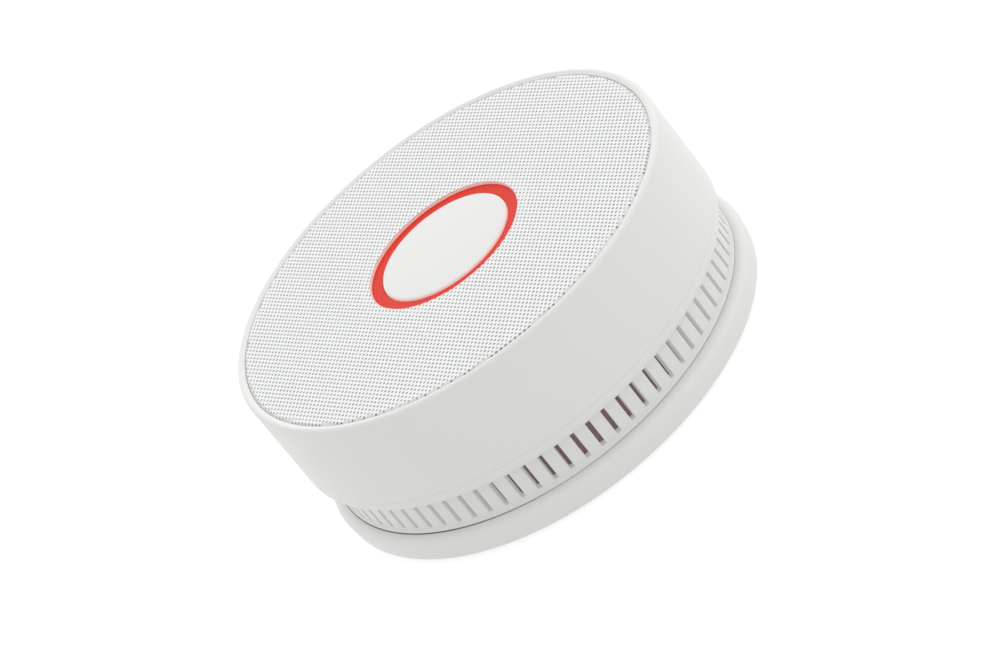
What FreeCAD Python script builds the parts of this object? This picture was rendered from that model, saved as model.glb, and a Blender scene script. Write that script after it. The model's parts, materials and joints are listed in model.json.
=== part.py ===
"""Battery smoke detector: a round head that twists onto a wall or ceiling plate.

Millimetres. The origin is the centre of the mounting plate's back face and +Z points into the room,
so the back lies on z = 0 and the perforated face is on top. Every piece is one STEP file in parts/.
"""
import FreeCAD
import Part
import math
import os

# ---- outer form -------------------------------------------------------------------------------
TOTAL_HEIGHT = 38.3          # back face to the top of the lip around the perforated face
COVER_FOOT_RADIUS = 50.0     # widest part of the cover, at its lower edge
COVER_LIP_RADIUS = 49.75     # cover at the face, one degree of draft further up
LIP_ROUND = 0.8              # rounded crest of the lip
LIP_SLOPE = 29.0             # degrees; from its crest the lip falls this steeply towards the grille
WALL = 2.0                   # moulded wall thickness
RECESS_DEPTH = 1.0           # face web below the lip
RECESS_RADIUS = 47.99

# ---- face -------------------------------------------------------------------------------------
GRILLE_RADIUS = 47.95
GRILLE_HOLE_RADIUS = 17.45
GRILLE_TOP_Z = 38.1
GRILLE_THICKNESS = 0.25
GRILLE_EDGE_ROUND = 0.6      # the sheet is rolled down all round its rim
FACE_WEB = 2.05              # thickness of the plastic web under the grille
COLLAR_RADIUS = 18.2         # outside of the web's collar around the light ring
COLLAR_BORE = 17.35

# ---- lower housing ----------------------------------------------------------------------------
PARTING_Z = 17.7             # seam between the cover and the lower housing
FLANGE_UNDERSIDE_Z = 14.63
FLANGE_ROUND = 2.1
NECK_RADIUS = 47.4
NECK_FOOT_Z = 6.45
NECK_FOOT_RADIUS = 47.7
SLOT_COUNT = 80
SLOT_WIDTH = 1.06
SLOT_BOTTOM_Z = 7.72
SLOT_TOP_Z = 14.4
SPIGOT_RADIUS = 44.6
SPIGOT_BOTTOM_Z = 2.4
SPIGOT_WALL = 1.8
FLOOR_BOTTOM_Z = 5.4
FLOOR_TOP_Z = 7.0

# ---- mounting plate and bayonet ---------------------------------------------------------------
PLATE_TOP_Z = 6.3
PLATE_FLOOR = 2.0
PLATE_FOOT_RADIUS = 49.85
PLATE_RIM_RADIUS = 50.1
PLATE_INNER_RADIUS = 47.3
BAYONET_ANGLES = (30.0, 150.0, 270.0)
LUG_SWEEP = 24.0
LEDGE_SWEEP = 30.0
LEDGE_BOTTOM_Z = 4.6
LEDGE_TOP_Z = 6.0
SCREW_SLOT_SPACING = 60.0
SCREW_SLOT_RADIUS = 2.2
SCREW_SLOT_LENGTH = 12.0

# ---- circuit board ----------------------------------------------------------------------------
PCB_BOTTOM_Z = 20.0
PCB_THICKNESS = 1.6
PCB_TOP_Z = PCB_BOTTOM_Z + PCB_THICKNESS
PCB_RADIUS = 41.0
POST_CIRCLE = 38.0           # the three screws that hold the two shells together
POST_ANGLES = (35.0, 145.0, 270.0)
POST_RADIUS = 3.2
BOARD_SCREW_CIRCLE = 34.0
BOARD_SCREW_ANGLES = (20.0, 160.0, 230.0, 310.0)
PILOT_RADIUS = 1.2

# ---- test button, light ring and switch -------------------------------------------------------
BUTTON_RADIUS = 14.74
BUTTON_TOP_Z = 37.85
BUTTON_CAP = 1.6
BUTTON_ROUND = 0.6
BUTTON_TRAVEL = 1.0
BUTTON_STEM_RADIUS = 2.2
HOOK_ANGLES = (90.0, 210.0, 330.0)
RING_OUTER_RADIUS = 17.3
RING_INNER_RADIUS = 14.86
RING_FACE_OUTER_Z = 37.5     # the red face falls slightly towards the button
RING_FACE_INNER_Z = 37.42
RING_BOTTOM_Z = 23.2
RING_WEB_BOTTOM_Z = 29.0
RING_WEB_TOP_Z = 30.4
SWITCH_SIDE = 6.0
SWITCH_BODY_HEIGHT = 3.5
SWITCH_TRAVEL = 0.3
PLUNGER_RADIUS = 1.75
PLUNGER_TOP_Z = PCB_TOP_Z + 5.0

# ---- horn -------------------------------------------------------------------------------------
HORN_X = -32.8
HORN_RADIUS = 13.8
HORN_HEIGHT = 10.0
PIEZO_RADIUS = 12.5
PIEZO_TOP_Z = 28.2
PIEZO_THICKNESS = 0.25
CERAMIC_RADIUS = 8.5
CERAMIC_THICKNESS = 0.2
HORN_PORT_RADIUS = 4.0

# ---- smoke chamber ----------------------------------------------------------------------------
CHAMBER_RADIUS = 18.2
CHAMBER_LID_BOTTOM_Z = 7.4
CHAMBER_LID_TOP_Z = 8.6
CHAMBER_BASE_BOTTOM_Z = 17.0
OPTICS_Z = 12.8
OPTICS_RADIUS = 2.5
EMITTER_ANGLE = 200.0
RECEIVER_ANGLE = 330.0
VANE_COUNT = 24
SCREEN_RADIUS = 45.2
SCREEN_THICKNESS = 0.3

# ---- battery: one 3 V lithium cell, 17 mm by 34 mm --------------------------------------------
CELL_RADIUS = 8.4
CELL_LENGTH = 34.2
CELL_Y = 29.6
CELL_Z = 11.35
BAY_HALF_LENGTH = 19.6
BAY_HALF_WIDTH = 8.5
BAY_WALL = 1.4
BAY_TOP_Z = 16.0

Z_AXIS = FreeCAD.Vector(0, 0, 1)
X_AXIS = FreeCAD.Vector(1, 0, 0)
ORIGIN = FreeCAD.Vector(0, 0, 0)

WEB_TOP_Z = TOTAL_HEIGHT - RECESS_DEPTH
WEB_BOTTOM_Z = WEB_TOP_Z - FACE_WEB
GRILLE_BOTTOM_Z = GRILLE_TOP_Z - GRILLE_THICKNESS


# ---- shape helpers ----------------------------------------------------------------------------
def corner(centre, radius, start_deg, end_deg):
    """Middle and end point of an arc in an outline of (radius, height) points."""
    middle_deg = (start_deg + end_deg) / 2
    points = []
    for angle in (middle_deg, end_deg):
        turn = math.radians(angle)
        points.append((centre[0] + radius * math.cos(turn), centre[1] + radius * math.sin(turn)))
    return tuple(points)


def outline_face(start, *moves):
    """Closed face in the XZ plane. A move is the next point, or the two points that corner() gives."""
    edges = []
    first = FreeCAD.Vector(start[0], 0, start[1])
    here = first
    for move in moves:
        if isinstance(move[0], tuple):
            middle = FreeCAD.Vector(move[0][0], 0, move[0][1])
            end = FreeCAD.Vector(move[1][0], 0, move[1][1])
            edges.append(Part.Arc(here, middle, end).toShape())
        else:
            end = FreeCAD.Vector(move[0], 0, move[1])
            edges.append(Part.LineSegment(here, end).toShape())
        here = end
    edges.append(Part.LineSegment(here, first).toShape())
    return Part.Face(Part.Wire(edges))


def turned(start, *moves, sweep=360.0):
    """Solid of revolution about the Z axis."""
    return outline_face(start, *moves).revolve(ORIGIN, Z_AXIS, sweep)


def rod(radius, bottom, top, x=0.0, y=0.0):
    return Part.makeCylinder(radius, top - bottom, FreeCAD.Vector(x, y, bottom))


def tube(outer, inner, bottom, top, x=0.0, y=0.0):
    return rod(outer, bottom, top, x, y).cut(rod(inner, bottom - 1, top + 1, x, y))


def block(x_range, y_range, z_range):
    size = [high - low for low, high in (x_range, y_range, z_range)]
    return Part.makeBox(*size, FreeCAD.Vector(x_range[0], y_range[0], z_range[0]))


def block_at(x, y, bottom, length, width, height):
    return block((x - length / 2, x + length / 2), (y - width / 2, y + width / 2),
                 (bottom, bottom + height))


def turned_to(shape, angle):
    """Copy of a shape, turned about the Z axis."""
    copy = shape.copy()
    copy.rotate(ORIGIN, Z_AXIS, angle)
    return copy


def moved(shape, x, y):
    copy = shape.copy()
    copy.translate(FreeCAD.Vector(x, y, 0))
    return copy


def around(shape, angles):
    return [turned_to(shape, angle) for angle in angles]


def on_circle(radius, angle):
    turn = math.radians(angle)
    return radius * math.cos(turn), radius * math.sin(turn)


def ring_sector(inner, outer, bottom, top, middle_deg, sweep):
    sector = turned((inner, bottom), (outer, bottom), (outer, top), (inner, top), sweep=sweep)
    return turned_to(sector, middle_deg - sweep / 2)


def joined(first, others):
    return first.multiFuse(others).removeSplitter()


def coil(mean_radius, wire_radius, bottom, top, turns, x=0.0, y=0.0):
    """Open coil spring whose wire runs from one end face to the other."""
    low = bottom + wire_radius
    rise = top - bottom - 2 * wire_radius
    helix = Part.makeHelix(rise / turns, rise, mean_radius)
    section = Part.Wire(Part.makeCircle(wire_radius, FreeCAD.Vector(mean_radius, 0, 0),
                                        FreeCAD.Vector(0, 1, 0)))
    spring = Part.Wire(helix).makePipeShell([section], True, True)
    spring.translate(FreeCAD.Vector(x, y, low))
    return spring


def pan_screw(head_radius, head_height, shank_radius, length):
    """Cross-recessed screw, head down on z = 0 and shank up."""
    head = Part.makeCylinder(head_radius, head_height)
    head = head.makeFillet(head_height * 0.35, [head.Edges[2]])
    shank = Part.makeCylinder(shank_radius, length, FreeCAD.Vector(0, 0, head_height))
    arm = head_radius * 0.55
    cross = block((-arm, arm), (-0.35, 0.35), (-0.1, head_height * 0.5))
    return head.fuse(shank).cut(cross.fuse(turned_to(cross, 90)))


def save(name, *solids):
    shape = solids[0] if len(solids) == 1 else Part.makeCompound(list(solids))
    shape.exportStep(f"parts/{name}.step")
    print(f"{name:26s} solids {len(shape.Solids):3d}  valid {shape.isValid()}  {shape.Volume:10.1f} mm3")


# ---- mounting plate ---------------------------------------------------------------------------
def mounting_plate():
    foot_round = 1.0
    rim_round = 2.0
    plate = turned(
        (0, 0),
        (PLATE_FOOT_RADIUS - foot_round, 0),
        corner((PLATE_FOOT_RADIUS - foot_round, foot_round), foot_round, -90, 0),
        (PLATE_RIM_RADIUS, PLATE_TOP_Z - rim_round),
        corner((PLATE_RIM_RADIUS - rim_round, PLATE_TOP_Z - rim_round), rim_round, 0, 90),
        (PLATE_INNER_RADIUS, PLATE_TOP_Z),
        (PLATE_INNER_RADIUS, PLATE_FLOOR),
        (0, PLATE_FLOOR),
    )
    wall_overlap = PLATE_INNER_RADIUS + 0.3
    ledge_inner = SPIGOT_RADIUS + 0.35
    stop_sweep = 3.0
    additions = [tube(16.5, 15.0, PLATE_FLOOR - 0.2, PLATE_FLOOR + 2.0)]
    for angle in BAYONET_ANGLES:
        additions.append(ring_sector(ledge_inner, wall_overlap, LEDGE_BOTTOM_Z, LEDGE_TOP_Z,
                                     angle, LEDGE_SWEEP))
        stop_middle = angle - LEDGE_SWEEP / 2 + stop_sweep / 2
        additions.append(ring_sector(ledge_inner, wall_overlap, PLATE_FLOOR - 0.2, LEDGE_TOP_Z,
                                     stop_middle, stop_sweep))
    rib = block((16.0, 19.0), (-0.6, 0.6), (PLATE_FLOOR - 0.2, PLATE_FLOOR + 2.0))
    additions += around(rib, range(30, 390, 60))
    plate = joined(plate, additions)
    return plate.cut(screw_slots())


def screw_slots():
    """The two slots that a wall screw passes through."""
    half_run = SCREW_SLOT_LENGTH / 2 - SCREW_SLOT_RADIUS
    cutters = []
    for x in (-SCREW_SLOT_SPACING / 2, SCREW_SLOT_SPACING / 2):
        for end in (x - half_run, x + half_run):
            cutters.append(rod(SCREW_SLOT_RADIUS, -1, PLATE_FLOOR + 1, end))
        cutters.append(block_at(x, 0, -1, 2 * half_run, 2 * SCREW_SLOT_RADIUS, PLATE_FLOOR + 2))
    return joined(cutters[0], cutters[1:])


# ---- lower housing ----------------------------------------------------------------------------
def battery_bay():
    """Walls that hold the cell: open towards the mounting plate, with two snap ribs below the cell."""
    outside = block((-BAY_HALF_LENGTH - BAY_WALL, BAY_HALF_LENGTH + BAY_WALL),
                    (CELL_Y - BAY_HALF_WIDTH - BAY_WALL, CELL_Y + BAY_HALF_WIDTH + BAY_WALL),
                    (SPIGOT_BOTTOM_Z, BAY_TOP_Z))
    outside = outside.common(rod(SPIGOT_RADIUS, 0, BAY_TOP_Z + 1))
    inside = bay_space()
    rib_depth = 0.6
    rib_y = BAY_HALF_WIDTH - rib_depth / 2
    ribs = [block_at(0, CELL_Y + side * rib_y, SPIGOT_BOTTOM_Z, 12.0, rib_depth + 0.02, 1.0)
            for side in (-1, 1)]
    return outside, inside, ribs


def bay_space():
    return block((-BAY_HALF_LENGTH, BAY_HALF_LENGTH),
                 (CELL_Y - BAY_HALF_WIDTH, CELL_Y + BAY_HALF_WIDTH),
                 (SPIGOT_BOTTOM_Z - 1, BAY_TOP_Z + 1))


def lower_housing():
    neck_inner = NECK_RADIUS - WALL
    joint_radius = COVER_FOOT_RADIUS - 2.3
    joint_top = PARTING_Z + 3.1
    spigot_inner = SPIGOT_RADIUS - SPIGOT_WALL
    foot_curve = ((NECK_RADIUS + 0.08, NECK_FOOT_Z + 0.32), (NECK_RADIUS, NECK_FOOT_Z + 0.8))
    flange_centre = (COVER_FOOT_RADIUS - FLANGE_ROUND, FLANGE_UNDERSIDE_Z + FLANGE_ROUND)
    shell = turned(
        (spigot_inner, SPIGOT_BOTTOM_Z),
        (SPIGOT_RADIUS, SPIGOT_BOTTOM_Z),
        (SPIGOT_RADIUS, NECK_FOOT_Z),
        (NECK_FOOT_RADIUS, NECK_FOOT_Z),
        foot_curve,
        (NECK_RADIUS, FLANGE_UNDERSIDE_Z),
        (COVER_FOOT_RADIUS - FLANGE_ROUND, FLANGE_UNDERSIDE_Z),
        corner(flange_centre, FLANGE_ROUND, -90, 0),
        (COVER_FOOT_RADIUS, PARTING_Z),
        (joint_radius, PARTING_Z),
        (joint_radius, joint_top),
        (neck_inner, joint_top),
        (neck_inner, FLOOR_TOP_Z),
        (0, FLOOR_TOP_Z),
        (0, FLOOR_BOTTOM_Z),
        (spigot_inner, FLOOR_BOTTOM_Z),
    )
    bay, bay_hole, bay_ribs = battery_bay()
    additions = [bay]
    for angle in BAYONET_ANGLES:
        additions.append(ring_sector(SPIGOT_RADIUS - 0.3, PLATE_INNER_RADIUS - 0.4, SPIGOT_BOTTOM_Z,
                                     LEDGE_BOTTOM_Z - 0.3, angle + 1.8, LUG_SWEEP))
    for angle in POST_ANGLES:
        additions.append(rod(POST_RADIUS + 0.2, FLOOR_BOTTOM_Z, PCB_BOTTOM_Z - 0.4,
                             *on_circle(POST_CIRCLE, angle)))
    for angle in BOARD_SCREW_ANGLES:
        additions.append(rod(3.0, FLOOR_TOP_Z - 0.2, PCB_BOTTOM_Z, *on_circle(BOARD_SCREW_CIRCLE, angle)))
    shell = joined(shell, additions)
    cutters = [bay_hole]
    slot = block((NECK_RADIUS - WALL - 1, NECK_RADIUS + 0.6), (-SLOT_WIDTH / 2, SLOT_WIDTH / 2),
                 (SLOT_BOTTOM_Z, SLOT_TOP_Z))
    pitch = 360.0 / SLOT_COUNT
    cutters += around(slot, [pitch * index for index in range(SLOT_COUNT)])
    for angle in POST_ANGLES:
        x, y = on_circle(POST_CIRCLE, angle)
        cutters.append(rod(1.7, 0, PCB_BOTTOM_Z + 1, x, y))
        cutters.append(rod(2.9, 0, 8.4, x, y))
    for angle in BOARD_SCREW_ANGLES:
        cutters.append(rod(PILOT_RADIUS, 10.0, PCB_BOTTOM_Z + 1, *on_circle(BOARD_SCREW_CIRCLE, angle)))
    shell = shell.cut(Part.makeCompound(cutters))
    return joined(shell, bay_ribs)


# ---- cover and face ---------------------------------------------------------------------------
def outer_cover():
    seam = 0.03
    skirt_bottom = PARTING_Z + seam
    skirt_inner = COVER_FOOT_RADIUS - WALL
    inner_round = 0.95
    lip_centre = (COVER_LIP_RADIUS - LIP_ROUND, TOTAL_HEIGHT - LIP_ROUND)
    lip_crest = corner(lip_centre, LIP_ROUND, 0, 90 + LIP_SLOPE)
    crest_radius, crest_z = lip_crest[1]
    slope_foot_z = crest_z - (crest_radius - RECESS_RADIUS) * math.tan(math.radians(LIP_SLOPE))
    cover = turned(
        (skirt_inner, skirt_bottom),
        (COVER_FOOT_RADIUS, skirt_bottom),
        (COVER_LIP_RADIUS, TOTAL_HEIGHT - LIP_ROUND),
        lip_crest,
        (RECESS_RADIUS, slope_foot_z),
        (RECESS_RADIUS, WEB_TOP_Z),
        (COLLAR_RADIUS, WEB_TOP_Z),
        (COLLAR_RADIUS, GRILLE_BOTTOM_Z),
        (COLLAR_BORE, GRILLE_BOTTOM_Z),
        (COLLAR_BORE, WEB_BOTTOM_Z),
        (skirt_inner - inner_round, WEB_BOTTOM_Z),
        corner((skirt_inner - inner_round, WEB_BOTTOM_Z - inner_round), inner_round, 90, 0),
    )
    posts = []
    cutters = []
    for angle in POST_ANGLES:
        x, y = on_circle(POST_CIRCLE, angle)
        posts.append(rod(POST_RADIUS, PCB_BOTTOM_Z - 0.2, WEB_BOTTOM_Z + 0.3, x, y))
        cutters.append(rod(PILOT_RADIUS, PCB_BOTTOM_Z - 1, 30.0, x, y))
    sound_hole = rod(1.0, WEB_BOTTOM_Z - 1, WEB_TOP_Z + 1, 2.7)
    for angle in range(0, 360, 60):
        cutters.append(moved(turned_to(sound_hole, angle), HORN_X, 0))
    cutters.append(rod(1.0, WEB_BOTTOM_Z - 1, WEB_TOP_Z + 1, HORN_X))
    return joined(cover, posts).cut(Part.makeCompound(cutters))


def grille():
    """Thin sheet whose rim is rolled down towards the face web."""
    edge = GRILLE_RADIUS - GRILLE_EDGE_ROUND
    edge_z = GRILLE_TOP_Z - GRILLE_EDGE_ROUND
    inner_round = GRILLE_EDGE_ROUND - GRILLE_THICKNESS
    skirt_bottom = WEB_TOP_Z + 0.05
    return turned(
        (GRILLE_HOLE_RADIUS, GRILLE_BOTTOM_Z),
        (edge, GRILLE_BOTTOM_Z),
        corner((edge, edge_z), inner_round, 90, 0),
        (GRILLE_RADIUS - GRILLE_THICKNESS, skirt_bottom),
        (GRILLE_RADIUS, skirt_bottom),
        (GRILLE_RADIUS, edge_z),
        corner((edge, edge_z), GRILLE_EDGE_ROUND, 0, 90),
        (GRILLE_HOLE_RADIUS, GRILLE_TOP_Z),
    )


def grille_adhesive():
    """Two foam tape rings that bond the grille to the face web."""
    outer_ring = tube(47.3, 46.0, WEB_TOP_Z, GRILLE_BOTTOM_Z)
    inner_ring = tube(COLLAR_RADIUS + 1.6, COLLAR_RADIUS + 0.3, WEB_TOP_Z, GRILLE_BOTTOM_Z)
    return outer_ring, inner_ring


# ---- light ring, button and switch ------------------------------------------------------------
def light_ring():
    """Light guide: a tube from the indicator lamps to the face, with a web that guides the button."""
    flange_radius = 18.6
    flange_bottom = WEB_BOTTOM_Z - 1.5
    stem_hole = BUTTON_STEM_RADIUS + 0.4
    ring = turned(
        (RING_INNER_RADIUS, RING_BOTTOM_Z),
        (RING_OUTER_RADIUS, RING_BOTTOM_Z),
        (RING_OUTER_RADIUS, flange_bottom),
        (flange_radius, flange_bottom),
        (flange_radius, WEB_BOTTOM_Z),
        (RING_OUTER_RADIUS, WEB_BOTTOM_Z),
        (RING_OUTER_RADIUS, RING_FACE_OUTER_Z),
        (RING_INNER_RADIUS, RING_FACE_INNER_Z),
        (RING_INNER_RADIUS, RING_WEB_TOP_Z),
        (stem_hole, RING_WEB_TOP_Z),
        (stem_hole, RING_WEB_BOTTOM_Z),
        (RING_INNER_RADIUS, RING_WEB_BOTTOM_Z),
    )
    window = block((9.4, 14.2), (-2.0, 2.0), (RING_WEB_BOTTOM_Z - 1, RING_WEB_TOP_Z + 1))
    return ring.cut(Part.makeCompound(around(window, HOOK_ANGLES)))


def test_button():
    """Cap with a stem for the switch and three snap hooks that hold it in the light ring."""
    underside = BUTTON_TOP_Z - BUTTON_CAP
    skirt_bottom = RING_WEB_TOP_Z + BUTTON_TRAVEL + 0.6
    skirt_inner = BUTTON_RADIUS - 1.1
    stem_bottom = PLUNGER_TOP_Z + BUTTON_TRAVEL - SWITCH_TRAVEL
    cap = turned(
        (0, stem_bottom),
        (BUTTON_STEM_RADIUS, stem_bottom),
        (BUTTON_STEM_RADIUS, underside),
        (skirt_inner, underside),
        (skirt_inner, skirt_bottom),
        (BUTTON_RADIUS, skirt_bottom),
        (BUTTON_RADIUS, BUTTON_TOP_Z - BUTTON_ROUND),
        corner((BUTTON_RADIUS - BUTTON_ROUND, BUTTON_TOP_Z - BUTTON_ROUND), BUTTON_ROUND, 0, 90),
        (0, BUTTON_TOP_Z),
    )
    barb_top = RING_WEB_BOTTOM_Z - 0.25
    barb_bottom = barb_top - 1.1
    leg = block((11.0, 12.3), (-1.6, 1.6), (barb_bottom, underside + 0.2))
    barb = block((9.0, 11.1), (-1.6, 1.6), (barb_bottom, barb_top))
    return joined(cap, around(leg, HOOK_ANGLES) + around(barb, HOOK_ANGLES))


def button_return_spring():
    return coil(3.6, 0.25, RING_WEB_TOP_Z + 0.03, BUTTON_TOP_Z - BUTTON_CAP - 0.03, 5)


def switch_body():
    half = SWITCH_SIDE / 2
    top = PCB_TOP_Z + SWITCH_BODY_HEIGHT
    body = block((-half, half), (-half, half), (PCB_TOP_Z, top))
    body = body.cut(rod(PLUNGER_RADIUS + 0.05, top - 1.1, top + 1))
    legs = [block_at(x, y, PCB_TOP_Z, 0.9, 0.7, 0.3) for x in (-3.4, 3.4) for y in (-2.25, 2.25)]
    return joined(body, legs)


def switch_frame():
    bottom = PCB_TOP_Z + SWITCH_BODY_HEIGHT
    frame = block_at(0, 0, bottom, SWITCH_SIDE, SWITCH_SIDE, 0.3)
    return frame.cut(rod(PLUNGER_RADIUS + 0.05, bottom - 1, bottom + 1))


def switch_plunger():
    plunger = rod(PLUNGER_RADIUS, PCB_TOP_Z + SWITCH_BODY_HEIGHT - 0.7, PLUNGER_TOP_Z)
    return plunger.makeFillet(0.3, [plunger.Edges[0]])


# ---- circuit board ----------------------------------------------------------------------------
def main_pcb():
    board = rod(PCB_RADIUS, PCB_BOTTOM_Z, PCB_TOP_Z)
    cutters = []
    for angle in POST_ANGLES:
        x, y = on_circle(POST_CIRCLE + 1.5, angle)
        cutters.append(rod(5.4, PCB_BOTTOM_Z - 1, PCB_TOP_Z + 1, x, y))
    for angle in BOARD_SCREW_ANGLES:
        cutters.append(rod(1.6, PCB_BOTTOM_Z - 1, PCB_TOP_Z + 1, *on_circle(BOARD_SCREW_CIRCLE, angle)))
    for x in (-19.1, 17.75):
        cutters.append(block_at(x, CELL_Y, PCB_BOTTOM_Z - 1, 0.6, 3.2, PCB_THICKNESS + 2))
    for angle in (EMITTER_ANGLE, RECEIVER_ANGLE):
        for side in (-1.27, 1.27):
            cutters.append(turned_to(rod(0.45, PCB_BOTTOM_Z - 1, PCB_TOP_Z + 1, 17.2, side), angle))
    return board.cut(Part.makeCompound(cutters))


def indicator_lamps():
    """Six lamps under the light ring."""
    lamps = []
    x = (RING_INNER_RADIUS + RING_OUTER_RADIUS) / 2
    for angle in range(0, 360, 60):
        body = block_at(x, 0, PCB_TOP_Z, 2.8, 3.5, 1.2)
        body = body.cut(rod(1.1, PCB_TOP_Z + 0.8, PCB_TOP_Z + 2, x))
        lamps.append(turned_to(body, angle))
    return lamps


def microcontroller():
    x, y = 9.0, 30.0
    side = 7.0
    body = block_at(x, y, PCB_TOP_Z + 0.1, side, side, 1.4)
    pins = []
    for index in range(8):
        offset = (index - 3.5) * 0.8
        for sign in (-1, 1):
            pins.append(block_at(x + sign * (side / 2 + 0.5), y + offset, PCB_TOP_Z, 1.1, 0.35, 0.5))
            pins.append(block_at(x + offset, y + sign * (side / 2 + 0.5), PCB_TOP_Z, 0.35, 1.1, 0.5))
    return joined(body, pins)


def sensor_ic():
    x, y = -7.0, 30.0
    body = block_at(x, y, PCB_TOP_Z + 0.1, 9.9, 3.9, 1.5)
    pins = []
    for index in range(8):
        offset = (index - 3.5) * 1.27
        for sign in (-1, 1):
            pins.append(block_at(x + offset, y + sign * 2.45, PCB_TOP_Z, 0.42, 1.1, 0.6))
    return joined(body, pins)


def electrolytic_capacitors():
    capacitors = []
    for x, y in ((26.0, -20.0), (10.0, -30.0), (-10.0, -31.0)):
        can = rod(3.15, PCB_TOP_Z + 0.8, PCB_TOP_Z + 7.7, x, y)
        can = can.makeFillet(0.4, [can.Edges[0]])
        capacitors.append(can.fuse(block_at(x, y, PCB_TOP_Z, 6.6, 6.6, 0.9)))
    return capacitors


def chips_on_arc(radius, angles, size):
    length, width, height = size
    chip = block_at(radius, 0, PCB_TOP_Z, width, length, height)
    return around(chip, angles)


def horn_transformer():
    x, y = 30.0, -8.0
    base = block_at(x, y, PCB_TOP_Z, 9.0, 9.0, 1.2)
    core = rod(2.2, PCB_TOP_Z + 1.0, PCB_TOP_Z + 8.0, x, y)
    winding = rod(3.9, PCB_TOP_Z + 1.2, PCB_TOP_Z + 6.8, x, y)
    top = rod(4.5, PCB_TOP_Z + 6.8, PCB_TOP_Z + 8.0, x, y)
    return joined(base, [core, winding, top])


# ---- horn -------------------------------------------------------------------------------------
def horn_housing():
    """Resonator cup: its port faces the sound holes in the face web."""
    bottom = WEB_BOTTOM_Z - HORN_HEIGHT
    cavity_radius = PIEZO_RADIUS - 0.9
    cup = turned(
        (PIEZO_RADIUS + 0.1, bottom),
        (HORN_RADIUS, bottom),
        (HORN_RADIUS, WEB_BOTTOM_Z),
        (HORN_PORT_RADIUS, WEB_BOTTOM_Z),
        (HORN_PORT_RADIUS, WEB_BOTTOM_Z - 1.2),
        (cavity_radius, WEB_BOTTOM_Z - 1.2),
        (cavity_radius, PIEZO_TOP_Z),
        (PIEZO_RADIUS + 0.1, PIEZO_TOP_Z),
    )
    return moved(cup, HORN_X, 0)


def piezo_disc():
    return rod(PIEZO_RADIUS, PIEZO_TOP_Z - PIEZO_THICKNESS, PIEZO_TOP_Z, HORN_X)


def piezo_ceramic():
    top = PIEZO_TOP_Z - PIEZO_THICKNESS
    return rod(CERAMIC_RADIUS, top - CERAMIC_THICKNESS, top, HORN_X)


def piezo_retaining_ring():
    top = PIEZO_TOP_Z - PIEZO_THICKNESS
    return tube(PIEZO_RADIUS + 0.1, PIEZO_RADIUS - 1.0, top - 1.1, top, HORN_X)


def horn_contact_springs():
    disc_z = PIEZO_TOP_Z - PIEZO_THICKNESS
    centre = coil(0.8, 0.18, PCB_TOP_Z, disc_z - CERAMIC_THICKNESS, 7, HORN_X)
    edge = coil(0.8, 0.18, PCB_TOP_Z, disc_z, 7, HORN_X + 10.2)
    return centre, edge


# ---- smoke chamber ----------------------------------------------------------------------------
def optic_holder(angle):
    """Block that carries the emitter or the receiver, bored towards the chamber's centre."""
    holder = block((8.5, 17.3), (-3.7, 3.7), (9.4, CHAMBER_BASE_BOTTOM_Z + 0.2))
    bore = Part.makeCylinder(OPTICS_RADIUS + 0.05, 30, FreeCAD.Vector(-5, 0, OPTICS_Z), X_AXIS)
    return turned_to(holder.cut(bore.common(block((5, 20), (-5, 5), (0, 30)))), angle)


def lead_space(angle):
    """Passage up through the chamber base for one device's two leads."""
    space = block((16.8, 17.6), (-2.0, 2.0), (OPTICS_Z - 1, PCB_BOTTOM_Z + 1))
    return turned_to(space, angle)


def chamber_base():
    base = rod(CHAMBER_RADIUS, CHAMBER_BASE_BOTTOM_Z, PCB_BOTTOM_Z)
    base = joined(base, [optic_holder(EMITTER_ANGLE), optic_holder(RECEIVER_ANGLE)])
    return base.cut(Part.makeCompound([lead_space(EMITTER_ANGLE), lead_space(RECEIVER_ANGLE)]))


def vane():
    """One chevron that lets smoke in and keeps room light out."""
    points = ((13.6, -1.9), (15.9, 0.7), (18.1, -1.9), (18.1, -0.7), (15.9, 1.9), (13.6, -0.7))
    corners = [FreeCAD.Vector(x, y, CHAMBER_LID_TOP_Z - 0.2) for x, y in points]
    face = Part.Face(Part.makePolygon(corners + corners[:1]))
    return face.extrude(FreeCAD.Vector(0, 0, CHAMBER_BASE_BOTTOM_Z - CHAMBER_LID_TOP_Z + 0.2))


def chamber_cap():
    lid = rod(CHAMBER_RADIUS, CHAMBER_LID_BOTTOM_Z, CHAMBER_LID_TOP_Z)
    angles = []
    for index in range(VANE_COUNT):
        angle = index * 360.0 / VANE_COUNT
        gap = min(abs(angle - EMITTER_ANGLE), abs(angle - RECEIVER_ANGLE))
        if gap > 20.0:
            angles.append(angle)
    return joined(lid, around(vane(), angles))


def optic_device(angle):
    """Five millimetre lamp or photodiode body, dome towards the chamber's centre."""
    start = FreeCAD.Vector(10.5, 0, OPTICS_Z)
    body = Part.makeCylinder(OPTICS_RADIUS, 6.0, start, X_AXIS)
    dome = Part.makeSphere(OPTICS_RADIUS, start)
    return turned_to(body.fuse(dome).removeSplitter(), angle)


def optics_leads():
    leads = []
    for angle in (EMITTER_ANGLE, RECEIVER_ANGLE):
        for side in (-1.27, 1.27):
            across = block((16.5, 17.45), (side - 0.25, side + 0.25), (OPTICS_Z - 0.25, OPTICS_Z + 0.25))
            upright = block((16.95, 17.45), (side - 0.25, side + 0.25),
                            (OPTICS_Z, PCB_TOP_Z + 0.6))
            leads.append(turned_to(across.fuse(upright).removeSplitter(), angle))
    return leads


def insect_screen():
    return tube(SCREEN_RADIUS, SCREEN_RADIUS - SCREEN_THICKNESS, FLOOR_TOP_Z, 16.5)


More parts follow.
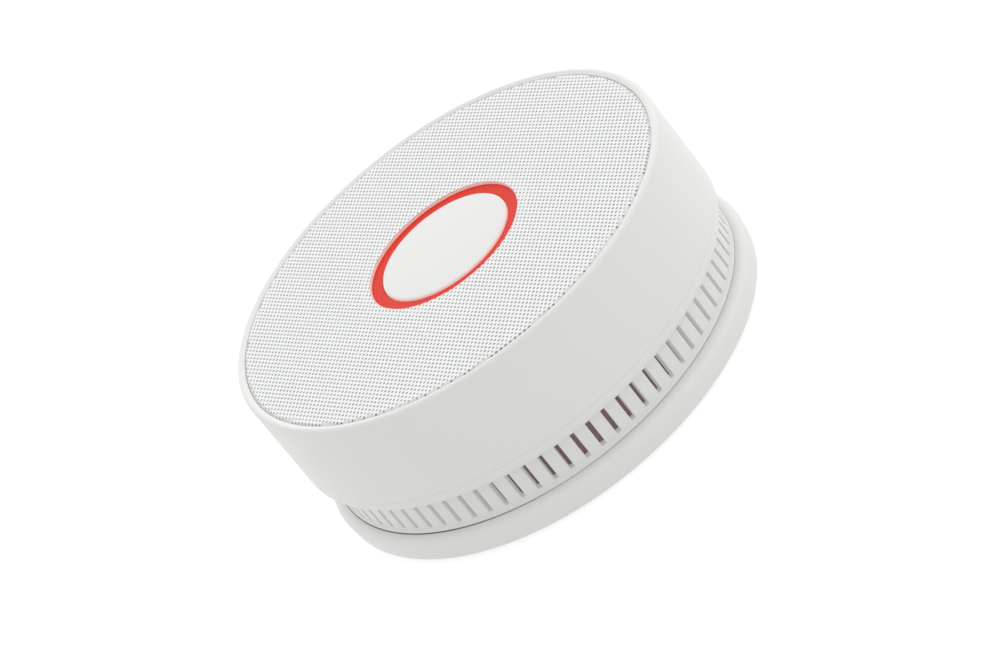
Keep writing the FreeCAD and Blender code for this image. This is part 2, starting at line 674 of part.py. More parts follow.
# ---- battery ----------------------------------------------------------------------------------
def battery_cell():
    nub = 1.0
    left = -CELL_LENGTH / 2
    can = Part.makeCylinder(CELL_RADIUS, CELL_LENGTH - nub, FreeCAD.Vector(left, CELL_Y, CELL_Z), X_AXIS)
    can = can.makeFillet(0.6, [can.Edges[0], can.Edges[2]])
    tip = Part.makeCylinder(2.9, nub + 0.5, FreeCAD.Vector(-left - nub - 0.5, CELL_Y, CELL_Z), X_AXIS)
    return can.fuse(tip).removeSplitter()


def positive_contact():
    plate = block((17.2, 17.6), (CELL_Y - 4, CELL_Y + 4), (CELL_Z - 4, CELL_Z + 4))
    foot = block((17.2, 18.0), (CELL_Y - 1.4, CELL_Y + 1.4), (CELL_Z + 3.6, CELL_Z + 4.0))
    tab = block((17.6, 18.0), (CELL_Y - 1.4, CELL_Y + 1.4), (CELL_Z + 3.6, PCB_TOP_Z + 0.6))
    return joined(plate, [foot, tab])


def negative_contact():
    plate = block((-19.3, -18.9), (CELL_Y - 4.5, CELL_Y + 4.5), (CELL_Z - 4.5, CELL_Z + 4.5))
    tab = block((-19.3, -18.9), (CELL_Y - 1.4, CELL_Y + 1.4), (CELL_Z + 4.4, PCB_TOP_Z + 0.6))
    return plate.fuse(tab).removeSplitter()


def contact_spring():
    """Coil between the negative contact and the bottom of the cell, lying along X."""
    spring = coil(2.5, 0.3, 0.0, 1.7, 1.5)
    spring.rotate(ORIGIN, FreeCAD.Vector(0, 1, 0), 90)
    spring.translate(FreeCAD.Vector(-18.85, CELL_Y, CELL_Z))
    return spring


# ---- screws -----------------------------------------------------------------------------------
def housing_screws():
    """Driven from the back, through the lower housing into the cover's posts."""
    screws = []
    for angle in POST_ANGLES:
        screw = pan_screw(2.6, 1.9, PILOT_RADIUS, 20.0)
        screw.translate(FreeCAD.Vector(0, 0, 6.5))
        screws.append(moved(screw, *on_circle(POST_CIRCLE, angle)))
    return screws


def board_screws():
    screws = []
    for angle in BOARD_SCREW_ANGLES:
        screw = pan_screw(2.6, 1.7, PILOT_RADIUS, 8.0)
        screw.rotate(ORIGIN, X_AXIS, 180)
        screw.translate(FreeCAD.Vector(0, 0, PCB_TOP_Z + 1.7))
        screws.append(moved(screw, *on_circle(BOARD_SCREW_CIRCLE, angle)))
    return screws


def main():
    os.makedirs("parts", exist_ok=True)
    save("mounting_plate", mounting_plate())
    save("lower_housing", lower_housing())
    save("outer_cover", outer_cover())
    save("grille", grille())
    save("grille_adhesive", *grille_adhesive())
    save("light_ring", light_ring())
    save("test_button", test_button())
    save("button_return_spring", button_return_spring())
    save("tact_switch_body", switch_body())
    save("tact_switch_frame", switch_frame())
    save("tact_switch_plunger", switch_plunger())
    save("main_pcb", main_pcb())
    save("indicator_lamps", *indicator_lamps())
    save("microcontroller", microcontroller())
    save("sensor_ic", sensor_ic())
    save("electrolytic_capacitors", *electrolytic_capacitors())
    save("chip_resistors", *chips_on_arc(23.5, range(30, 160, 10), (2.0, 1.25, 0.5)))
    save("chip_capacitors", *chips_on_arc(23.0, range(200, 350, 10), (2.0, 1.25, 0.9)))
    save("transistors", *chips_on_arc(31.0, (198, 207, 216), (2.9, 1.6, 1.1)))
    save("horn_transformer", horn_transformer())
    save("horn_housing", horn_housing())
    save("piezo_disc", piezo_disc())
    save("piezo_ceramic", piezo_ceramic())
    save("piezo_retaining_ring", piezo_retaining_ring())
    save("horn_contact_springs", *horn_contact_springs())
    save("chamber_base", chamber_base())
    save("chamber_cap", chamber_cap())
    save("ir_emitter", optic_device(EMITTER_ANGLE))
    save("photodiode", optic_device(RECEIVER_ANGLE))
    save("optics_leads", *optics_leads())
    save("insect_screen", insect_screen())
    save("battery_cell", battery_cell())
    save("battery_contact_positive", positive_contact())
    save("battery_contact_negative", negative_contact())
    save("battery_contact_spring", contact_spring())
    save("housing_screws", *housing_screws())
    save("board_screws", *board_screws())


main()
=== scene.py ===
"""Looks of a battery smoke detector, built around its CAD frame. Outlines are in millimetres."""
import bpy
import bmesh
import json
import math
from mathutils import Matrix, Vector, geometry


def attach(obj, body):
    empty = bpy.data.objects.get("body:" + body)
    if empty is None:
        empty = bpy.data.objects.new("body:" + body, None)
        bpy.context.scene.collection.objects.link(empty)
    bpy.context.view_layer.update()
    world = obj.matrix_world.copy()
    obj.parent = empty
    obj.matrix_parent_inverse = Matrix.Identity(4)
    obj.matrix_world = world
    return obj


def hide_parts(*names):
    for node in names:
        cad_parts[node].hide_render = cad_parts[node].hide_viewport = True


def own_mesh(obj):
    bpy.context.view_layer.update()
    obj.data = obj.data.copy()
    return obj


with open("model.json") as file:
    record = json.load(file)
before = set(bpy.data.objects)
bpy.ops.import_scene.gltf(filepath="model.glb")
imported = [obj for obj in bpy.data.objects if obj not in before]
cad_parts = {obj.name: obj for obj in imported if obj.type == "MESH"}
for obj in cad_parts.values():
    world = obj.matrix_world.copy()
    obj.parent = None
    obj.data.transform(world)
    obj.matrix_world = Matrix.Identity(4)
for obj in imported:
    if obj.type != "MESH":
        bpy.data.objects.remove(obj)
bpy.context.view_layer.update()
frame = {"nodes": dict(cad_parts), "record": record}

MM = 0.001
ROUND_STEPS = 8          # facets on a quarter round
TURN_STEPS = 360         # facets around a turned piece

# ---- shared dimensions ------------------------------------------------------------------------
TOP_Z = 38.3
COVER_FOOT = 50.0
COVER_LIP = 49.75
PARTING_Z = 17.7
NECK = 47.4
NECK_INNER = 45.4
SPIGOT = 44.6
WEB_TOP = 37.3
WEB_BOTTOM = 35.25
GRILLE_RADIUS = 47.95
GRILLE_BOTTOM = 37.85
GRILLE_TOP = 38.1
GRILLE_HOLE = 17.45
GRILLE_ROLL = 0.6        # the sheet's rim is rolled down with this radius
RING_OUTER = 17.3
RING_INNER = 14.86
BUTTON_TOP = 37.85
SLOT_COUNT = 80
SLOT_HALF_WIDTH = 0.53
SLOT_BOTTOM = 7.72
SLOT_TOP = 14.4
SLOT_RELIEF = 45.75      # inner radius of the wall behind the slots
JOINT_TOP = 6.5          # the painted shade of the joint between neck and plate lies below this height
JOINT_REACH = 47.85      # and within this radius
POSTS = (35.0, 145.0, 270.0)
BOARD_POSTS = (20.0, 160.0, 230.0, 310.0)


# ---- mesh helpers -----------------------------------------------------------------------------
def place(name, mesh):
    piece = bpy.data.objects.new(name, mesh)
    bpy.context.scene.collection.objects.link(piece)
    return piece


def build(name, corners, faces):
    mesh = bpy.data.meshes.new(name)
    mesh.from_pydata([[value * MM for value in corner] for corner in corners], [], faces)
    tidy = bmesh.new()
    tidy.from_mesh(mesh)
    bmesh.ops.recalc_face_normals(tidy, faces=tidy.faces)
    tidy.to_mesh(mesh)
    tidy.free()
    return place(name, mesh)


def shade(piece, angle=30):
    mesh = piece.data
    mesh.polygons.foreach_set("use_smooth", [True] * len(mesh.polygons))
    mesh.set_sharp_from_angle(angle=math.radians(angle))
    return piece


def polar(radius, degrees):
    turn = math.radians(degrees)
    return radius * math.cos(turn), radius * math.sin(turn)


def arc(centre, radius, start, end, steps=ROUND_STEPS):
    points = []
    for index in range(steps + 1):
        x, z = polar(radius, start + (end - start) * index / steps)
        points.append((centre[0] + x, centre[1] + z))
    return points


def lathe(name, outline, steps=TURN_STEPS, centre=(0, 0)):
    """Closed outline of (radius, height) points turned about a vertical axis."""
    corners = []
    rows = []
    for radius, height in outline:
        count = 1 if radius < 1e-6 else steps
        rows.append([len(corners) + index for index in range(count)])
        for index in range(count):
            x, y = polar(radius, 360 * index / steps)
            corners.append((centre[0] + x, centre[1] + y, height))
    faces = []
    for low, high in zip(rows, rows[1:] + rows[:1]):
        if len(low) == 1 and len(high) == 1:
            continue
        for index in range(steps):
            after = (index + 1) % steps
            face = [low[index % len(low)], low[after % len(low)], high[after % len(high)],
                    high[index % len(high)]]
            faces.append(list(dict.fromkeys(face)))
    return build(name, corners, faces)


def rod(radius, low, high, x=0.0, y=0.0, steps=64):
    return lathe("rod", [(0, low), (radius, low), (radius, high), (0, high)], steps, (x, y))


def block(x_range, y_range, z_range, turn=0.0):
    corners = [(x, y, z) for x in x_range for y in y_range for z in z_range]
    faces = [(0, 1, 3, 2), (4, 6, 7, 5), (0, 4, 5, 1), (2, 3, 7, 6), (0, 2, 6, 4), (1, 5, 7, 3)]
    piece = build("block", corners, faces)
    piece.data.transform(Matrix.Rotation(math.radians(turn), 4, "Z"))
    return piece


def merged(name, pieces):
    """One object that holds all the pieces' faces."""
    whole = bmesh.new()
    for piece in pieces:
        whole.from_mesh(piece.data)
        bpy.data.objects.remove(piece)
    mesh = bpy.data.meshes.new(name)
    whole.to_mesh(mesh)
    whole.free()
    return place(name, mesh)


def combine(piece, others, operation):
    """Boolean of one piece with several that may overlap each other."""
    tool = merged("tool", others)
    change = piece.modifiers.new("combine", "BOOLEAN")
    change.operation = operation
    change.solver = "EXACT"
    change.use_self = len(others) > 1
    change.object = tool
    bpy.context.view_layer.update()
    seen = piece.evaluated_get(bpy.context.evaluated_depsgraph_get())
    mesh = bpy.data.meshes.new_from_object(seen)
    piece.modifiers.clear()
    piece.data = mesh
    bpy.data.objects.remove(tool)
    return piece


def tube_along(path, radius, closed=False, sides=8):
    """Corners and faces of a round wire along a list of points."""
    corners = []
    faces = []
    count = len(path)
    points = [Vector(point) for point in path]
    for index, point in enumerate(points):
        before = points[index - 1] if closed or index else point
        after = points[(index + 1) % count] if closed or index < count - 1 else point
        ahead = (after - before).normalized()
        side = ahead.cross(Vector((0, 0, 1)))
        if side.length < 1e-3:
            side = Vector((point.x, point.y, 0))
        side.normalize()
        rise = side.cross(ahead)
        for spoke in range(sides):
            a, b = polar(radius, 360 * spoke / sides)
            corners.append(point + side * a + rise * b)
    for index in range(count if closed else count - 1):
        after = (index + 1) % count
        for spoke in range(sides):
            near = (spoke + 1) % sides
            faces.append((index * sides + spoke, index * sides + near, after * sides + near,
                          after * sides + spoke))
    if not closed:
        faces.append(tuple(range(sides)))
        faces.append(tuple(range((count - 1) * sides, count * sides)))
    return corners, faces


def stack(parts):
    """Corners and faces of several wires, put into one list each."""
    corners = []
    faces = []
    for more_corners, more_faces in parts:
        base = len(corners)
        corners += more_corners
        faces += [[base + index for index in face] for face in more_faces]
    return corners, faces


# ---- materials --------------------------------------------------------------------------------
RING_LIGHT = (0.70, 0.38, 0.34, 1)
TINT_BOTTOM = 34.5       # the ring's light reaches down to this height
# colour of the painted shade in the joint between neck and plate
JOINT_SHADE_BROWN = (0.27, 0.18, 0.15, 1)


def math_node(nodes, links, operation, *values):
    """Node that works on numbers or on other nodes' outputs; its result is handed back."""
    step = nodes.new("ShaderNodeMath")
    step.operation = operation
    for socket, value in zip(step.inputs, values):
        if isinstance(value, (int, float)):
            socket.default_value = value
        else:
            links.new(value, socket)
    return step.outputs[0]


def round_position(nodes, links, where):
    """Distance from the object's axis, height, and distance to the right of the axis."""
    split = nodes.new("ShaderNodeSeparateXYZ")
    links.new(where, split.inputs[0])
    across = math_node(nodes, links, "POWER", split.outputs["X"], 2)
    along = math_node(nodes, links, "POWER", split.outputs["Y"], 2)
    radius = math_node(nodes, links, "SQRT", math_node(nodes, links, "ADD", across, along))
    return radius, split.outputs["Z"], split.outputs["X"]


def ring_tint(nodes, links, where, plain, start, end):
    """Red light from the ring on its neighbours: grows from one radius to another, near the face only."""
    radius, height, _ = round_position(nodes, links, where)
    share = nodes.new("ShaderNodeMapRange")
    share.inputs["From Min"].default_value = start * MM
    share.inputs["From Max"].default_value = end * MM
    links.new(radius, share.inputs["Value"])
    high = math_node(nodes, links, "GREATER_THAN", height, TINT_BOTTOM * MM)
    amount = math_node(nodes, links, "MULTIPLY", share.outputs["Result"], high)
    tint = nodes.new("ShaderNodeMix")
    tint.data_type = "RGBA"
    tint.inputs["B"].default_value = RING_LIGHT
    links.new(amount, tint.inputs["Factor"])
    links.new(plain, tint.inputs["A"])
    return tint.outputs["Result"]


def joint_shade(nodes, links, where, plain, shader):
    """Painted shade: brown in the joint between neck and plate, mostly at the left, and more painted glow
    in the slots' walls.
    """
    radius, height, rightward = round_position(nodes, links, where)
    low = math_node(nodes, links, "LESS_THAN", height, JOINT_TOP * MM)
    near = math_node(nodes, links, "LESS_THAN", radius, JOINT_REACH * MM)
    # the painted shade is full at the left (x below -34 mm) and a fifth as strong right of x = -12 mm
    side = nodes.new("ShaderNodeMapRange")
    side.inputs["From Min"].default_value = -12 * MM
    side.inputs["From Max"].default_value = -34 * MM
    side.inputs["To Min"].default_value = 0.2
    links.new(rightward, side.inputs["Value"])
    joint = math_node(nodes, links, "MULTIPLY", math_node(nodes, links, "MULTIPLY", low, near),
                      side.outputs["Result"])
    shade_mix = nodes.new("ShaderNodeMix")
    shade_mix.data_type = "RGBA"
    shade_mix.inputs["B"].default_value = JOINT_SHADE_BROWN
    links.new(joint, shade_mix.inputs["Factor"])
    links.new(plain, shade_mix.inputs["A"])
    # painted glow: 1.3 times as strong in the slots' walls, and none where the joint has painted shade
    band = math_node(nodes, links, "LESS_THAN", height, 15 * MM)
    wall = math_node(nodes, links, "MULTIPLY", math_node(nodes, links, "GREATER_THAN", radius, 44 * MM),
                     math_node(nodes, links, "LESS_THAN", radius, (NECK - 0.08) * MM))
    painted_slot_glow = math_node(nodes, links, "MULTIPLY_ADD", math_node(nodes, links, "MULTIPLY", band, wall), 0.3, 1)
    clear = math_node(nodes, links, "SUBTRACT", 1, joint)
    links.new(math_node(nodes, links, "MULTIPLY", painted_slot_glow, clear), shader.inputs["Emission Strength"])
    return shade_mix.outputs["Result"]


def finish(name, colour, roughness, metallic=0.0, mottle=0.03, grain=0.0, grain_size=0.4,
           coat=0.0, glow=0.0, glow_colour=None, specular=0.5, tint=None, joint=False):
    """Procedural finish. mottle varies the colour and the gloss, and grain is a fine relief in mm."""
    material = bpy.data.materials.new(name)
    material.use_nodes = True
    nodes = material.node_tree.nodes
    links = material.node_tree.links
    shader = nodes["Principled BSDF"]
    shader.inputs["Metallic"].default_value = metallic
    shader.inputs["Specular IOR Level"].default_value = specular
    if coat:
        shader.inputs["Coat Weight"].default_value = coat
        shader.inputs["Coat Roughness"].default_value = 0.08
    if glow:
        shader.inputs["Emission Color"].default_value = (*(glow_colour or colour), 1)
        shader.inputs["Emission Strength"].default_value = glow
    where = nodes.new("ShaderNodeTexCoord")
    cloud = nodes.new("ShaderNodeTexNoise")
    cloud.inputs["Scale"].default_value = 60
    cloud.inputs["Detail"].default_value = 4
    links.new(where.outputs["Object"], cloud.inputs["Vector"])
    ramp = nodes.new("ShaderNodeMix")
    ramp.data_type = "RGBA"
    ramp.inputs["A"].default_value = (*[value * (1 - mottle) for value in colour], 1)
    ramp.inputs["B"].default_value = (*[min(1, value * (1 + mottle)) for value in colour], 1)
    links.new(cloud.outputs["Fac"], ramp.inputs["Factor"])
    shown = ramp.outputs["Result"]
    if tint:
        shown = ring_tint(nodes, links, where.outputs["Object"], shown, *tint)
    if joint:
        shown = joint_shade(nodes, links, where.outputs["Object"], shown, shader)
    links.new(shown, shader.inputs["Base Color"])
    gloss = nodes.new("ShaderNodeMapRange")
    gloss.inputs["To Min"].default_value = max(0.02, roughness - 0.04)
    gloss.inputs["To Max"].default_value = min(1, roughness + 0.04)
    links.new(cloud.outputs["Fac"], gloss.inputs["Value"])
    links.new(gloss.outputs["Result"], shader.inputs["Roughness"])
    if grain:
        fine = nodes.new("ShaderNodeTexNoise")
        fine.inputs["Scale"].default_value = 1000 / grain_size
        fine.inputs["Detail"].default_value = 2
        links.new(where.outputs["Object"], fine.inputs["Vector"])
        bump = nodes.new("ShaderNodeBump")
        bump.inputs["Distance"].default_value = grain * MM
        bump.inputs["Strength"].default_value = 0.6
        links.new(fine.outputs["Fac"], bump.inputs["Height"])
        links.new(bump.outputs["Normal"], shader.inputs["Normal"])
    return material


SHELL_WHITE = (0.45, 0.452, 0.436)
GRILLE_WHITE = (0.60, 0.61, 0.606)
PAINTED_GLOW = (0.155, 0.155, 0.151)      # painted glow: an even emission standing in for light that the thin white walls let through, which also lightens their shade in recesses
FINISHES = {
    # white_shell and button_white carry the painted glow; white_shell also has painted shade in the
    # neck-plate joint
    "white_shell": finish("white_shell", SHELL_WHITE, 0.42, mottle=0.012, grain=0.012, glow=1.0,
                          glow_colour=PAINTED_GLOW, specular=0.3, tint=(18.1, 17.4), joint=True),
    "button_white": finish("button_white", (0.432, 0.432, 0.428), 0.4, mottle=0.01, grain=0.008, glow=1.0,
                           glow_colour=PAINTED_GLOW, specular=0.3, tint=(14.2, 14.8)),
    "grille_white": finish("grille_white", GRILLE_WHITE, 0.45, mottle=0.01, specular=0.25,
                           tint=(17.75, 17.3)),
    # painted glow: the red ring glows faintly
    "ring_red": finish("ring_red", (0.51, 0.018, 0.006), 0.4, mottle=0.04, glow=0.06, specular=0.1),
    "chamber_black": finish("chamber_black", (0.012, 0.011, 0.011), 0.5, grain=0.02),
    # painted glow: the screen glows faintly, lightening its shade behind the slots
    "screen_bronze": finish("screen_bronze", (0.27, 0.108, 0.08), 0.6, glow=0.06),
    "board_green": finish("board_green", (0.02, 0.12, 0.04), 0.35, mottle=0.08),
}


CLASS_LOOKS = {               # roughness, metallic, coat
    "matte_plastic": (0.5, 0.0, 0.0),
    "gloss_plastic": (0.25, 0.0, 0.4),
    "painted_metal": (0.42, 0.0, 0.1),
    "rubber": (0.75, 0.0, 0.0),
    "aluminium": (0.3, 1.0, 0.0),
    "brushed_steel": (0.3, 1.0, 0.0),
    "chrome": (0.16, 1.0, 0.0),
    "brass": (0.28, 1.0, 0.0),
}


def cad_finishes():
    """Every CAD node gets a procedural finish, from the table above or from its own slot's colour."""
    for entry in frame["record"]["materials"]:
        name = entry["slot"]
        if name not in FINISHES:
            roughness, metallic, coat = CLASS_LOOKS[entry["class"]]
            FINISHES[name] = finish(name, tuple(entry["base_color"][:3]), roughness, metallic,
                                    mottle=0.06, grain=0.008, coat=coat)
    for part in frame["record"]["subparts"]:
        mesh = frame["nodes"][part["node"]].data
        mesh.materials.clear()
        mesh.materials.append(FINISHES[part["material_slot"]])


def settle(piece, body, slot, *nodes):
    """The piece gets its finish, moves with its body, and stands for the CAD nodes."""
    piece.data.materials.clear()
    piece.data.materials.append(FINISHES[slot])
    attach(piece, body)
    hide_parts(*nodes)
    return piece


# ---- mounting plate ---------------------------------------------------------------------------
def sector(inner, outer, low, high, middle, sweep, steps=12):
    corners = []
    for index in range(steps + 1):
        turn = middle - sweep / 2 + sweep * index / steps
        for radius in (inner, outer):
            for height in (low, high):
                corners.append((*polar(radius, turn), height))
    faces = [(0, 1, 3, 2), tuple(steps * 4 + index for index in (0, 2, 3, 1))]
    for index in range(steps):
        base = index * 4
        for a, b in ((0, 1), (1, 3), (3, 2), (2, 0)):
            faces.append((base + a, base + b, base + 4 + b, base + 4 + a))
    return build("sector", corners, faces)


def mounting_plate():
    plate = lathe("plate_body", [(0, 0)] + arc((47.85, 2.0), 2.0, -90, 0) + arc((48.1, 4.3), 2.0, 0, 90)
                  + [(47.3, 6.3), (47.3, 2.0), (0, 2.0)])
    extras = [lathe("hub", [(15.0, 1.8), (16.5, 1.8), (16.5, 4.0), (15.0, 4.0)], 128)]
    for turn in range(30, 390, 60):
        extras.append(block((16.0, 19.0), (-0.6, 0.6), (1.8, 4.0), turn))
    for turn in (30, 150, 270):
        extras.append(sector(44.95, 47.6, 4.6, 6.0, turn, 30.0))
        extras.append(sector(44.95, 47.6, 1.8, 6.0, turn - 13.5, 3.0))
    combine(plate, extras, "UNION")
    slots = []
    for x in (-30.0, 30.0):
        slots += [rod(2.2, -1, 3, x - 3.8), rod(2.2, -1, 3, x + 3.8)]
        slots.append(block((x - 3.8, x + 3.8), (-2.2, 2.2), (-1, 3)))
    return combine(plate, slots, "DIFFERENCE")


# ---- lower housing ----------------------------------------------------------------------------
def lower_housing():
    shell = lathe("housing_body", [(42.8, 2.4), (SPIGOT - 0.2, 2.4), (SPIGOT, 2.6), (SPIGOT, 6.45)]
                  + [(47.7, 6.45), (NECK + 0.19, 6.58), (NECK + 0.08, 6.77), (NECK + 0.02, 7.0)]
                  + [(NECK, 7.25), (NECK, 14.63)] + arc((47.9, 16.73), 2.1, -90, 0)
                  + [(COVER_FOOT, 17.68), (49.98, PARTING_Z), (47.7, PARTING_Z), (47.7, 20.8)]
                  + [(NECK_INNER, 20.8), (NECK_INNER, 7.0), (0, 7.0), (0, 5.4), (42.8, 5.4)])
    extras = [block((-21.0, 21.0), (19.7, 39.5), (2.4, 16.0))]
    extras += [sector(44.3, 46.9, 2.4, 4.3, turn + 1.8, 24.0) for turn in (30, 150, 270)]
    extras += [rod(3.4, 5.4, 19.6, *polar(38.0, turn)) for turn in POSTS]
    extras += [rod(3.0, 6.8, 20.0, *polar(34.0, turn)) for turn in BOARD_POSTS]
    combine(shell, extras, "UNION")
    cutters = [block((-19.6, 19.6), (21.1, 38.1), (1.4, 17.0))]
    for index in range(SLOT_COUNT):
        cutters.append(block((44.2, 48.0), (-SLOT_HALF_WIDTH, SLOT_HALF_WIDTH), (SLOT_BOTTOM, SLOT_TOP),
                             360 / SLOT_COUNT * index))
    cutters.append(lathe("slot_relief", [(45.0, 7.4), (SLOT_RELIEF, 7.4), (SLOT_RELIEF, 14.8),
                                         (45.0, 14.8)]))
    for turn in POSTS:
        cutters += [rod(1.7, 0, 21, *polar(38.0, turn)), rod(2.9, 0, 8.4, *polar(38.0, turn))]
    cutters += [rod(1.2, 10, 21, *polar(34.0, turn)) for turn in BOARD_POSTS]
    combine(shell, cutters, "DIFFERENCE")
    ribs = [block((-6, 6), (y, y + 0.62), (2.4, 3.4)) for y in (20.98, 37.58)]
    return combine(shell, ribs, "UNION")


# ---- cover and face ---------------------------------------------------------------------------
def outer_cover():
    crest = arc((COVER_LIP - 0.8, TOP_Z - 0.8), 0.8, 0, 119, 12)
    slope_foot = crest[-1][1] - (crest[-1][0] - 47.99) * math.tan(math.radians(29))
    cover = lathe("cover_body", [(48.0, 17.73), (49.98, 17.73), (COVER_FOOT, 17.75)] + crest
                  + [(47.99, slope_foot), (47.99, WEB_TOP), (18.2, WEB_TOP), (18.2, GRILLE_BOTTOM),
                     (17.35, GRILLE_BOTTOM), (17.35, WEB_BOTTOM)]
                  + arc((47.05, 34.3), 0.95, 90, 0))
    combine(cover, [rod(3.2, 19.8, 35.5, *polar(38.0, turn)) for turn in POSTS], "UNION")
    cutters = [rod(1.2, 19, 30, *polar(38.0, turn)) for turn in POSTS]
    cutters.append(rod(1.0, 34, 38, -32.8))
    for turn in range(0, 360, 60):
        x, y = polar(2.7, turn)
        cutters.append(rod(1.0, 34, 38, -32.8 + x, y))
    return combine(cover, cutters, "DIFFERENCE")


def rolled(reach, lift):
    """Radius and height of a point that lies this far out along the sheet, where its rim rolls down."""
    edge = GRILLE_RADIUS - GRILLE_ROLL
    if reach <= edge:
        return reach, GRILLE_BOTTOM + lift
    turn = (reach - edge) / GRILLE_ROLL
    curve = GRILLE_ROLL - (GRILLE_TOP - GRILLE_BOTTOM) + lift
    return edge + curve * math.sin(turn), GRILLE_TOP - GRILLE_ROLL + curve * math.cos(turn)


def grille():
    """Perforated sheet: round holes in a hexagonal lattice, cut through where they fall on the central
    opening's edge.
    """
    pitch = 1.10
    hole_radius = 0.302
    hole_sides = 7
    lattice_turn = -2.0
    outer = GRILLE_RADIUS - GRILLE_ROLL + GRILLE_ROLL * math.pi / 2
    points = []
    loops = []

    def loop(corners):
        loops.append(list(range(len(points), len(points) + len(corners))))
        points.extend(Vector(corner) for corner in corners)

    loop([polar(outer, index) for index in range(360)])
    loop([polar(GRILLE_HOLE, 1.5 * index) for index in range(240)])
    along = Vector(polar(pitch, lattice_turn))
    across = Vector(polar(pitch, lattice_turn + 60))
    span = int(outer / pitch * 1.3)
    for i in range(-span, span + 1):
        for j in range(-span, span + 1):
            middle = along * i + across * j
            if GRILLE_HOLE - hole_radius < middle.length < outer - hole_radius - 0.15:
                loop([middle + Vector(polar(hole_radius, 360 * k / hole_sides)) for k in range(hole_sides)])
    flat, _, triangles, _, _, owners = geometry.delaunay_2d_cdt(points, [], loops, 1, 1e-5, True)
    kept = [face for face, owner in zip(triangles, owners) if owner == [0]]
    count = len(flat)
    corners = []
    for lift in (0, GRILLE_TOP - GRILLE_BOTTOM):
        for point in flat:
            radius, height = rolled(point.length, lift)
            scale = radius / point.length if point.length else 1
            corners.append((point.x * scale, point.y * scale, height))
    faces = [tuple(reversed(face)) for face in kept]
    faces += [tuple(index + count for index in face) for face in kept]
    edges = {(a, b) for face in kept for a, b in zip(face, face[1:] + face[:1])}
    faces += [(a, b, b + count, a + count) for a, b in edges if (b, a) not in edges]
    sheet = build("grille_sheet", corners, faces)
    clean = bmesh.new()
    clean.from_mesh(sheet.data)
    loose = [corner for corner in clean.verts if not corner.link_faces]
    bmesh.ops.delete(clean, geom=loose, context="VERTS")
    clean.to_mesh(sheet.data)
    clean.free()
    return sheet


# ---- light ring and button --------------------------------------------------------------------
def light_ring():
    ring = lathe("ring_body", [(RING_INNER, 23.2), (RING_OUTER, 23.2), (RING_OUTER, 33.75), (18.6, 33.75),
                               (18.6, WEB_BOTTOM), (RING_OUTER, WEB_BOTTOM), (RING_OUTER, 37.47),
                               (17.27, 37.5), (14.92, 37.422), (RING_INNER, 37.37), (RING_INNER, 30.4),
                               (2.6, 30.4), (2.6, 29.0), (RING_INNER, 29.0)])
    windows = [block((9.4, 14.2), (-2, 2), (28, 31.4), turn) for turn in (90, 210, 330)]
    return combine(ring, windows, "DIFFERENCE")


def test_button():
    cap = lathe("button_cap", [(0, 27.32), (2.2, 27.32), (2.2, 36.25), (13.64, 36.25), (13.64, 32.0),
                               (14.74, 32.0)]
                + arc((14.14, BUTTON_TOP - 0.6), 0.6, 0, 90) + [(0, BUTTON_TOP)])
    hooks = []
    for turn in (90, 210, 330):
        hooks.append(block((11.0, 12.3), (-1.6, 1.6), (27.65, 36.4), turn))
        hooks.append(block((9.0, 11.1), (-1.6, 1.6), (27.65, 28.75), turn))
    return combine(cap, hooks, "UNION")


def return_spring():
    turns, low, high, mean = 5, 30.43 + 0.25, 36.22 - 0.25, 3.6
    path = []
    for index in range(turns * 40 + 1):
        share = index / (turns * 40)
        path.append((*polar(mean, 360 * turns * share), low + (high - low) * share))
    return build("return_spring", *tube_along(path, 0.25, sides=10))


# ---- insect screen ----------------------------------------------------------------------------
def insect_screen():
    """Woven wire band behind the slots: upright wires outside, hoops inside."""
    wires = []
    for index in range(800):
        x, y = polar(45.12, 360 * index / 800)
        wires.append(tube_along([(x, y, 7.02), (x, y, 16.48)], 0.075, sides=5))
    for index in range(27):
        height = 7.12 + index * 0.355
        path = [(*polar(44.98, 3 * step), height) for step in range(120)]
        wires.append(tube_along(path, 0.075, closed=True, sides=5))
    return build("screen_mesh", *stack(wires))


# ---- stage, light and camera ------------------------------------------------------------------
def stage_floor():
    half = 6000
    floor = build("floor", [(-half, -half, -0.05), (half, -half, -0.05), (half, half, -0.05),
                            (-half, half, -0.05)], [(0, 1, 2, 3)])
    floor.data.materials.append(finish("pale_floor", (0.3, 0.3, 0.3), 0.9, mottle=0.004, glow=1.0,
                                       glow_colour=(0.72, 0.72, 0.72), specular=0.0))


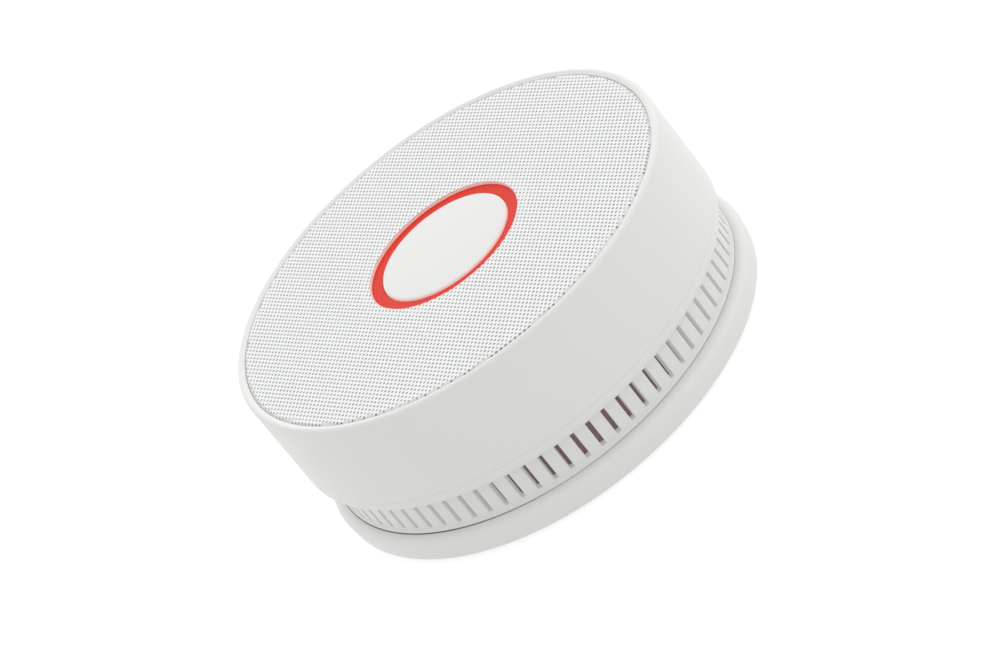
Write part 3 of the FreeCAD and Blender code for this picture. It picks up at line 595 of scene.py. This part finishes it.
def soft_light():
    world = bpy.data.worlds.new("studio")
    bpy.context.scene.world = world
    world.use_nodes = True
    nodes = world.node_tree.nodes
    links = world.node_tree.links
    sky = nodes["Background"]
    sky.inputs["Color"].default_value = (1, 1, 1, 1)
    where = nodes.new("ShaderNodeTexCoord")
    facing = nodes.new("ShaderNodeVectorMath")
    facing.operation = "DOT_PRODUCT"
    facing.inputs[1].default_value = (0.67, 0.74, 0)
    links.new(where.outputs["Generated"], facing.inputs[0])
    fade = nodes.new("ShaderNodeMapRange")
    fade.inputs["From Min"].default_value = -1
    fade.inputs["To Min"].default_value = 0.85
    fade.inputs["To Max"].default_value = 1.92
    links.new(facing.outputs["Value"], fade.inputs["Value"])
    links.new(math_node(nodes, links, "MAXIMUM", fade.outputs["Result"], 0.95), sky.inputs["Strength"])
    lamp = bpy.data.lights.new("overhead", "AREA")
    lamp.shape = "DISK"
    lamp.size = 1.6
    lamp.energy = 1.3
    lamp_object = bpy.data.objects.new("overhead", lamp)
    lamp_object.location = (0, 0, 2.0)
    bpy.context.scene.collection.objects.link(lamp_object)


def camera():
    """Looking down at the face from the front, with the camera rolled about its own axis."""
    tilt, roll = math.radians(28.75), math.radians(-38.85)
    sideways = Vector((1, 0, 0))
    upward = Vector((0, math.sin(tilt), math.cos(tilt)))
    ahead = Vector((0, math.cos(tilt), -math.sin(tilt)))
    right = sideways * math.cos(roll) + upward * math.sin(roll)
    above = upward * math.cos(roll) - sideways * math.sin(roll)
    face_centre = Vector((0, 0, 0.03775))
    spot = face_centre + right * 0.01103 - above * 0.01728 - ahead * 0.6932
    lens = bpy.data.cameras.new("camera")
    lens.lens = 126.93
    lens.sensor_width = 36.0
    lens.clip_start = 0.01
    eye = bpy.data.objects.new("camera", lens)
    turn = Matrix((right, above, -ahead)).transposed()
    eye.matrix_world = Matrix.Translation(spot) @ turn.to_4x4()
    bpy.context.scene.collection.objects.link(eye)
    bpy.context.scene.camera = eye


camera()
soft_light()
stage_floor()
cad_finishes()
bpy.context.scene.view_settings.view_transform = "Standard"
settle(shade(mounting_plate()), "mount", "white_shell", "mounting_plate")
settle(shade(lower_housing()), "head", "white_shell", "lower_housing")
settle(shade(outer_cover()), "head", "white_shell", "outer_cover")
settle(shade(grille()), "head", "grille_white", "grille")
settle(shade(light_ring()), "head", "ring_red", "light_ring")
settle(shade(test_button()), "button", "button_white", "test_button")
settle(shade(insect_screen(), 60), "head", "screen_bronze", "insect_screen")
spring = settle(shade(return_spring(), 60), "head", "spring_steel", "button_return_spring")
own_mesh(spring)
